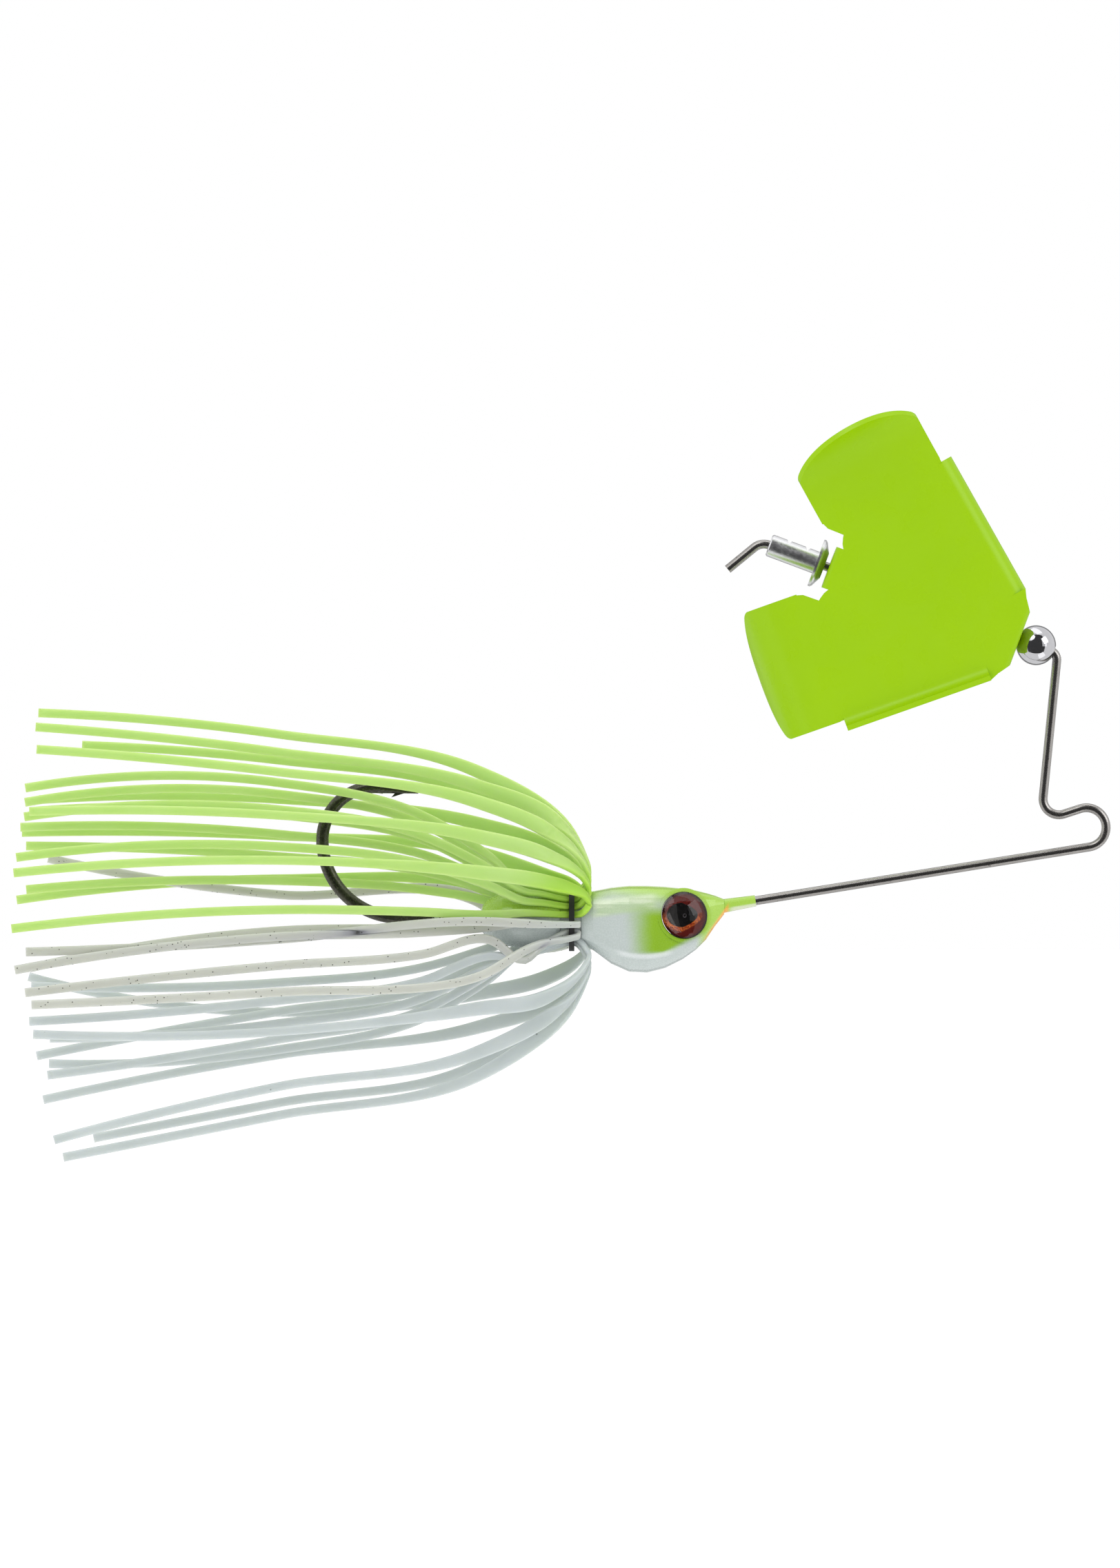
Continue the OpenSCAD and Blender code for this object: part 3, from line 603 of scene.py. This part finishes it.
# the fold in front of the band and the rear half's way over the keeper, as x from the band and
# distance from the axis
FOLD = [(-2.7, 12.4), (0.1, 9.7), (1.5, 7.1), (1.95, 5.4), (1.6, 4.2), (1.05, 3.35), (0.55, 2.85)]
TIGHT_FOLD = [(-2.7, 4.6), (0.1, 3.95), (0.75, 3.6), (0.75, 3.15)]
LIE = [(-1.3, 3.0), (-3.2, 3.6), (-5.2, 4.0)]

# round the axis: the first strand and the step to the next, at the band and where the fold opens
ROOT_ANGLE = 10
ROOT_PITCH = 20
OPEN_ANGLE = 31.2
OPEN_PITCH = 18.1
LAST_OPEN_ANGLE = 358

# a strand's thickness, 0.05 mm more than in the CAD model, and its width in the band, over the
# fold and where it hangs free
STRAND_T = 0.5
ROOT_W = 0.72
FOLD_W = 1.7
FREE_W = 1.0

# how far from the root a strand starts and ends to turn its flat side to the side view
TURN_FROM = 5.5
TURN_TO = 15.0

# each strand: how wide its fold opens, then its front half and its rear half, as y and z in the
# middle of the skirt and the tip's x, y and z; every z is from the axis
STRANDS = [
    (0.53, (-11.0, 6.6, -119.2, -11.6, 5.2), (-8.6, 1.1, -119.5, -9.4, -1.0)),
    (0.68, (-9.8, 11.6, -117.5, -10.6, 12.0), (-8.2, 8.1, -119, -8.8, 6.9)),
    (0.82, (-6.8, 16.4, -116.8, -7.6, 18.9), (-6.2, 12.2, -118.2, -6.6, 11.4)),
    (0.92, (-2.0, 18.6, -117.1, -2.4, 21.4), (-2.9, 15.2, -118.2, -3.4, 14.6)),
    (1, (3.2, 20.6, -117, 3.6, 23.0), (2.9, 13.9, -118.5, 3.4, 13.0)),
    (1, (8.6, 17.7, -112.3, 9.4, 19.4), (5.6, 11.6, -117.6, 6.2, 12.0)),
    (1, (11.0, 13.3, -117.2, 11.8, 13.3), (7.8, 9.4, -119.2, 8.4, 10.2)),
    (1, (12.4, 9.2, -119.2, 13.0, 9.6), (8.9, 6.9, -118.6, 9.4, 8.1)),
    (1, (13.0, 4.4, -119.8, 13.4, 2.0), (9.2, 4.2, -118.6, 9.8, 3.2)),
    (1, (11.2, 2.6, -116.2, 11.6, 6.7), (9.0, -1.4, -118.2, 9.6, -5.6)),
    (1, (11.4, -10.6, -118.4, 12.0, -6.6), (8.0, -7.2, -118, 8.6, -7.6)),
    (1, (9.6, -15.3, -116.7, 10.6, -20.4), (6.0, -10.4, -117.3, 6.4, -15.4)),
    (1, (5.2, -20.6, -110.9, 6.2, -24.6), (2.6, -14.6, -115.8, 3.0, -16.2)),
    (1, (0.2, -21.9, -114.1, 0.4, -26.6), (-1.2, -13.4, -115.8, -1.6, -17.4)),
    (0.88, (-5.2, -18.6, -114.9, -6.4, -24.5), (-4.6, -11.6, -115.4, -5.2, -13.2)),
    (0.77, (-9.2, -12.4, -117.1, -9.8, -12.7), (-7.2, -9.0, -117.6, -7.8, -11.3)),
    (0.2, (-11.4, -8.0, -117.2, -12.0, -9.4), (-8.8, -5.1, -118, -9.4, -8.1)),
    (0.1, (-6.9, -2.2, -118, -7.4, -3.6), (-7.4, -1.9, -119.2, -7.8, -5.6)),
]

# the last two strands run straight back instead of opening over their folds
LAST = len(STRANDS) - 1
TIGHT = (LAST - 1, LAST)

# how far the last three rear halves swing round the keeper, in degrees, and stand off it, in mm
LAST_LIES = {LAST - 2: (12, 0.8), LAST - 1: (22, 1.8), LAST: (-5, 0)}


def smooth_share(value, low, high):
    t = min(max((value - low) / (high - low), 0), 1)
    return t * t * (3 - 2 * t)


def ring_point(angle, x, r):
    """A point round the collar; the skirt is a little narrower than it is high."""
    flat = 1 - 0.28 * min(max((r - 3) / 9, 0), 1)
    a = math.radians(angle)
    return Vector((BAND_X + x, -math.cos(a) * r * flat, AXIS_Z + math.sin(a) * r))


def strand_knots(n):
    """Points on a strand, from the tip of its front half to the tip of its rear half."""
    opening, front, rear = STRANDS[n]
    front_y, front_z, *front_tip = front
    rear_y, rear_z, *rear_tip = rear
    tight = n in TIGHT
    root_angle = ROOT_ANGLE + ROOT_PITCH * n
    open_angle = LAST_OPEN_ANGLE if n == LAST else OPEN_ANGLE + OPEN_PITCH * n
    fold_start_r = FOLD[-1][1]
    knots = [
        Vector((front_tip[0], front_tip[1], AXIS_Z + front_tip[2])),
        Vector((-90, front_y, AXIS_Z + front_z)),
        Vector((-68, 0.85 * front_y, AXIS_Z + (0.1 if n == LAST else 0.8) * front_z)),
    ]
    for x, r in TIGHT_FOLD if tight else FOLD:
        opened = smooth_share(r, fold_start_r, 7.0)
        if not tight and r > 4.5:
            r = fold_start_r + (r - fold_start_r) * opening
        knots.append(ring_point(root_angle + (open_angle - root_angle) * opened, x, r))
    knots.append(ring_point(root_angle, 0, ROOT_R))
    # the last rear halves leave the keeper's right side bare below its middle
    swing, stand_off = LAST_LIES.get(n, (0, 0))
    for x, r in LIE:
        way = x / LIE[-1][0]
        knots.append(ring_point(root_angle - swing * way**2, x, r + stand_off * way))
    for x, share in ((-66.4, 0.45), (-74, 0.76), (-90, 1.0)):
        knots.append(Vector((x, share * rear_y, AXIS_Z + share * rear_z)))
    knots.append(Vector((rear_tip[0], rear_tip[1], AXIS_Z + rear_tip[2])))
    return knots


def smooth_path(knots, step_mm=0.9):
    """A smooth curve through the knots, with points about a step apart."""
    spans = [(b - a).length for a, b in zip(knots, knots[1:])]
    slopes = [None] * len(knots)
    for i in range(1, len(knots) - 1):
        a, b = spans[i - 1], spans[i]
        ahead = knots[i + 1] - knots[i]
        behind = knots[i] - knots[i - 1]
        slopes[i] = (ahead * (a / b) + behind * (b / a)) / (a + b)
    slopes[0] = 2 * (knots[1] - knots[0]) / spans[0] - slopes[1]
    slopes[-1] = 2 * (knots[-1] - knots[-2]) / spans[-1] - slopes[-2]
    path = []
    for i, span in enumerate(spans):
        steps = max(4, round(span / step_mm))
        for j in range(steps):
            t = j / steps
            path.append(
                (2 * t**3 - 3 * t**2 + 1) * knots[i]
                + (t**3 - 2 * t**2 + t) * span * slopes[i]
                + (3 * t**2 - 2 * t**3) * knots[i + 1]
                + (t**3 - t**2) * span * slopes[i + 1]
            )
    path.append(knots[-1])
    return path


def strand_section(width, thick):
    """Eight points round a flat strand with its corners cut off."""
    round_off = 0.1
    w, t = width / 2, thick / 2
    points = []
    for sign_w, sign_t in ((1, 1), (1, -1), (-1, -1), (-1, 1)):
        corner = [
            (sign_w * (w - round_off), sign_t * t),
            (sign_w * w, sign_t * (t - round_off)),
        ]
        if sign_w * sign_t < 0:
            corner.reverse()
        points += corner
    return points


def strand_width(away, fold_w):
    """Squeezed in the band, widest over the fold and thinner where it hangs free."""
    opened = smooth_share(away, 2.0, 8.0)
    hung = smooth_share(away, 12.0, 34.0)
    return ROOT_W + (fold_w - ROOT_W) * opened + (FREE_W - fold_w) * hung


def half_rings(path, fold_w):
    """Cross-sections from the root to a tip; the strand turns its flat side to the side view."""
    rings = []
    away = 0.0
    flip = 0
    last = len(path) - 1
    for i, p in enumerate(path):
        if i:
            away += (p - path[i - 1]).length
        ahead = (path[min(i + 1, last)] - path[max(i - 1, 0)]).normalized()
        upright = ahead.cross(Vector((0, 1, 0))).normalized()
        if away <= TURN_FROM:
            around = Vector((0, AXIS_Z - p.z, p.y)).normalized()
        elif not flip:
            flip = 1 if around.dot(upright) >= 0 else -1
        turned = smooth_share(away, TURN_FROM, TURN_TO)
        wide = around * (1 - turned) + upright * (turned * flip)
        wide = (wide - wide.dot(ahead) * ahead).normalized()
        thick = ahead.cross(wide).normalized()
        section = strand_section(strand_width(away, fold_w), STRAND_T)
        rings.append([(p + a * wide + b * thick) * MM for a, b in section])
    return rings


def strand_piece(n, material):
    """One strand, from tip to tip, in place of its CAD node."""
    knots = strand_knots(n)
    path = smooth_path(knots)
    in_band = next(p for p in knots if abs(p.x - BAND_X) < 0.001)
    root = min(range(len(path)), key=lambda i: (path[i] - in_band).length)
    front = half_rings(path[root::-1], FREE_W if n in TIGHT else FOLD_W)
    rear = half_rings(path[root:], FREE_W)
    # the front half is drawn from the root outwards, so its sections run the other way round
    front = [ring[::-1] for ring in front]
    rings = front[::-1] + rear[1:]
    obj = mesh_object("strand_%02d" % (n + 1), *loft(rings))
    obj.data.materials.append(material)
    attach(obj, "frame")
    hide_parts("skirt_strand_%02d" % (n + 1))


def make_skirt():
    """Nine green strands over the top, then one speckled, six pearl and two speckled."""
    # each silicone's third colour is the painted shade where the strands crowd near the band
    chartreuse = strand_material(
        "silicone_chartreuse", (0.455, 0.63, 0.23), (0.41, 0.60, 0.17), (0.32, 0.56, 0.03),
        1.9, 0.16, (0.05, 0.08, 0.02),
    )
    pearl = strand_material(
        "silicone_pearl", (0.52, 0.56, 0.58), (0.45, 0.49, 0.51), (0.44, 0.49, 0.49),
        1.1, 0.3, (0.22, 0.24, 0.25),
    )
    speckled = strand_material(
        "silicone_speckled", (0.52, 0.53, 0.50), (0.46, 0.47, 0.45), (0.47, 0.50, 0.48),
        0.55, 0.6, (0.08, 0.08, 0.07),
    )
    kinds = [(chartreuse, "silicone_chartreuse")] * 9
    kinds.append((speckled, "silicone_speckled"))
    kinds += [(pearl, "silicone_pearl")] * 6
    kinds += [(speckled, "silicone_speckled")] * 2
    for n, (material, slot) in enumerate(kinds):
        strand_piece(n, material)


# ---- CAD nodes that stay ----


def dress(node, material, bevel_mm=0.0):
    """Give a CAD node its material and, where asked, rounded edges."""
    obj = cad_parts[node]
    obj.data.materials.clear()
    obj.data.materials.append(material)
    if bevel_mm:
        bevel = obj.modifiers.new("edges", "BEVEL")
        bevel.width = bevel_mm * MM
        bevel.segments = 3
        bevel.limit_method = "ANGLE"
        bevel.angle_limit = math.radians(40)


def dress_cad():
    for side, right in (("right", True), ("left", False)):
        dress("eye_disc_" + side, eye_material("eye_foil_" + side, right))
        dress("eye_dome_" + side, resin_material())
    dress("wire_frame", wire_material())
    dress("bead", bead_material())
    dress("rivet", rivet_material(), 0.08)
    dress("hook", hook_material())
    dress("blade", blade_material(), 0.08)
    dress("head_casting", head_material())
    dress("skirt_band", band_material(), 0.1)


make_camera()
make_lights()
make_reflectors()
make_ground()
dress_cad()
make_skirt()
